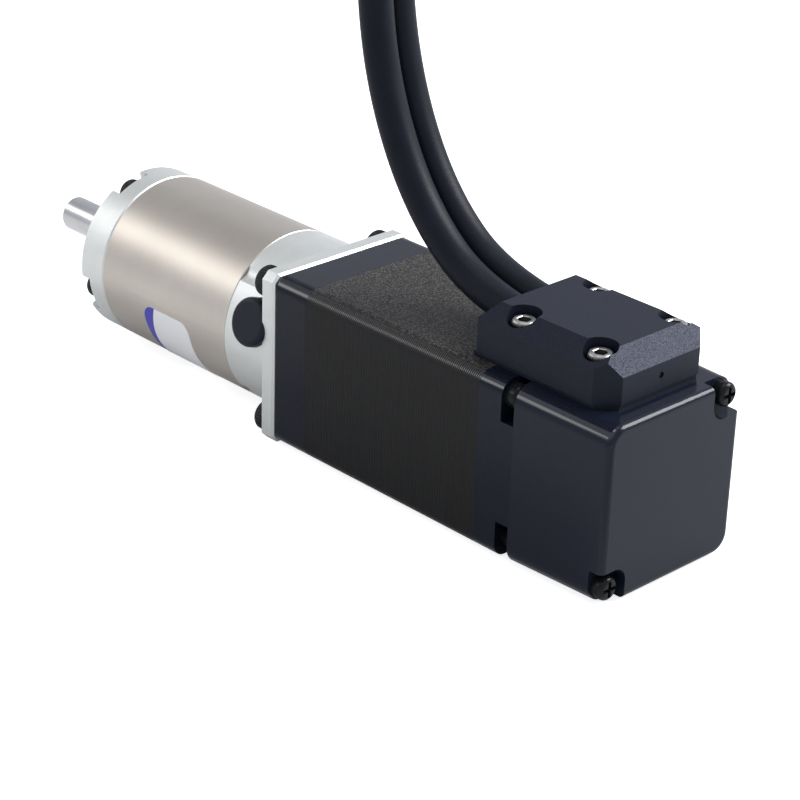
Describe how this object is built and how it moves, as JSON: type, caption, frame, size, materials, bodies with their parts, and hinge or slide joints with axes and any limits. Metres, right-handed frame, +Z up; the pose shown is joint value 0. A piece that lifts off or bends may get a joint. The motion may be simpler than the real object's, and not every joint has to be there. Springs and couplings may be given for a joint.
{
  "type": "geared stepper motor",
  "caption": "Square stepper motor with a planetary gearbox, round steel output shaft, rear encoder cover and two cables from a box on top.",
  "frame": {"origin": "centre of the front mounting face of the gearbox", "axes": "+X along the output shaft, away from the motor; +Z up, through the cable box"},
  "size_m": [0.3025, 0.03, 0.1347],
  "materials": {
    "steel_shaft": "ground and polished steel",
    "bearing_steel": "bright bearing steel with a dark shield",
    "gear_steel": "machined gear steel",
    "spring_steel": "dark spring steel",
    "satin_nickel": "warm satin nickel plate",
    "satin_aluminium": "satin machined aluminium",
    "black_screw": "black oxide steel",
    "cap_paint": "blue black semi-gloss paint",
    "lamination_paint": "black painted steel laminations",
    "copper_wire": "enamelled copper wire",
    "magnet": "dark sintered magnet",
    "cover_plastic": "glossy black blue plastic",
    "box_plastic": "grained matt black plastic",
    "stainless": "bright stainless steel",
    "cable_jacket": "matt black cable jacket",
    "black_rubber": "soft matt black rubber",
    "board": "green circuit board",
    "label_paper": "satin white label with a plain blue band",
    "plug_plastic": "natural nylon"
  },
  "bodies": {
    "housing": {"output_bearing_front": "bearing_steel", "output_bearing_rear": "bearing_steel", "input_bearing": "bearing_steel", "motor_bearing_front": "bearing_steel", "motor_bearing_rear": "bearing_steel", "front_flange": "satin_aluminium", "flange_screws": "black_screw", "ring_gear": "satin_nickel", "gearbox_adaptor": "satin_aluminium", "adaptor_ring_screws": "black_screw", "adaptor_screws": "black_screw", "access_plug": "black_rubber", "motor_front_cap": "cap_paint", "stator_stack": "lamination_paint", "stator_coils": "copper_wire", "wave_washer": "spring_steel", "rear_end_cap": "cap_paint", "motor_screws": "black_screw", "encoder_board": "board", "board_screws": "stainless", "rear_cover": "cover_plastic", "cover_screws": "black_screw", "cable_box_base": "box_plastic", "cable_box_cover": "box_plastic", "box_screws": "stainless", "cable_grommet": "black_rubber", "terminal_block": "plug_plastic", "motor_cable": "cable_jacket", "encoder_cable": "cable_jacket", "motor_plug": "plug_plastic", "encoder_plug": "plug_plastic", "sleeve_label": "label_paper"},
    "output": {"output_shaft": "steel_shaft", "carrier_rear_plate": "gear_steel", "carrier_screws": "black_screw", "planet_pins": "bearing_steel", "retaining_ring": "spring_steel"},
    "rotor": {"sun_pinion": "gear_steel", "clamp_screw": "black_screw", "rotor_cups": "gear_steel", "rotor_magnet": "magnet", "rotor_shaft": "steel_shaft", "encoder_magnet_hub": "satin_aluminium", "encoder_magnet": "magnet"},
    "planet_1": {"planet_gear_1": "gear_steel"},
    "planet_2": {"planet_gear_2": "gear_steel"},
    "planet_3": {"planet_gear_3": "gear_steel"}
  },
  "joints": [
    {"name": "output_spin", "type": "hinge", "parent": "housing", "child": "output", "pos_m": [0, 0, 0], "axis": [1, 0, 0], "continuous": true},
    {"name": "rotor_spin", "type": "hinge", "parent": "housing", "child": "rotor", "pos_m": [-0.075, 0, 0], "axis": [1, 0, 0], "continuous": true},
    {"name": "planet_1_spin", "type": "hinge", "parent": "output", "child": "planet_1", "pos_m": [-0.026, 0, 0.006], "axis": [1, 0, 0], "continuous": true},
    {"name": "planet_2_spin", "type": "hinge", "parent": "output", "child": "planet_2", "pos_m": [-0.026, -0.0052, -0.003], "axis": [1, 0, 0], "continuous": true},
    {"name": "planet_3_spin", "type": "hinge", "parent": "output", "child": "planet_3", "pos_m": [-0.026, 0.0052, -0.003], "axis": [1, 0, 0], "continuous": true}
  ],
  "couplings": [
    {"joint": "rotor_spin", "follows": "output_spin", "ratio": 5},
    {"joint": "planet_1_spin", "follows": "output_spin", "ratio": -2.6667},
    {"joint": "planet_2_spin", "follows": "output_spin", "ratio": -2.6667},
    {"joint": "planet_3_spin", "follows": "output_spin", "ratio": -2.6667}
  ]
}
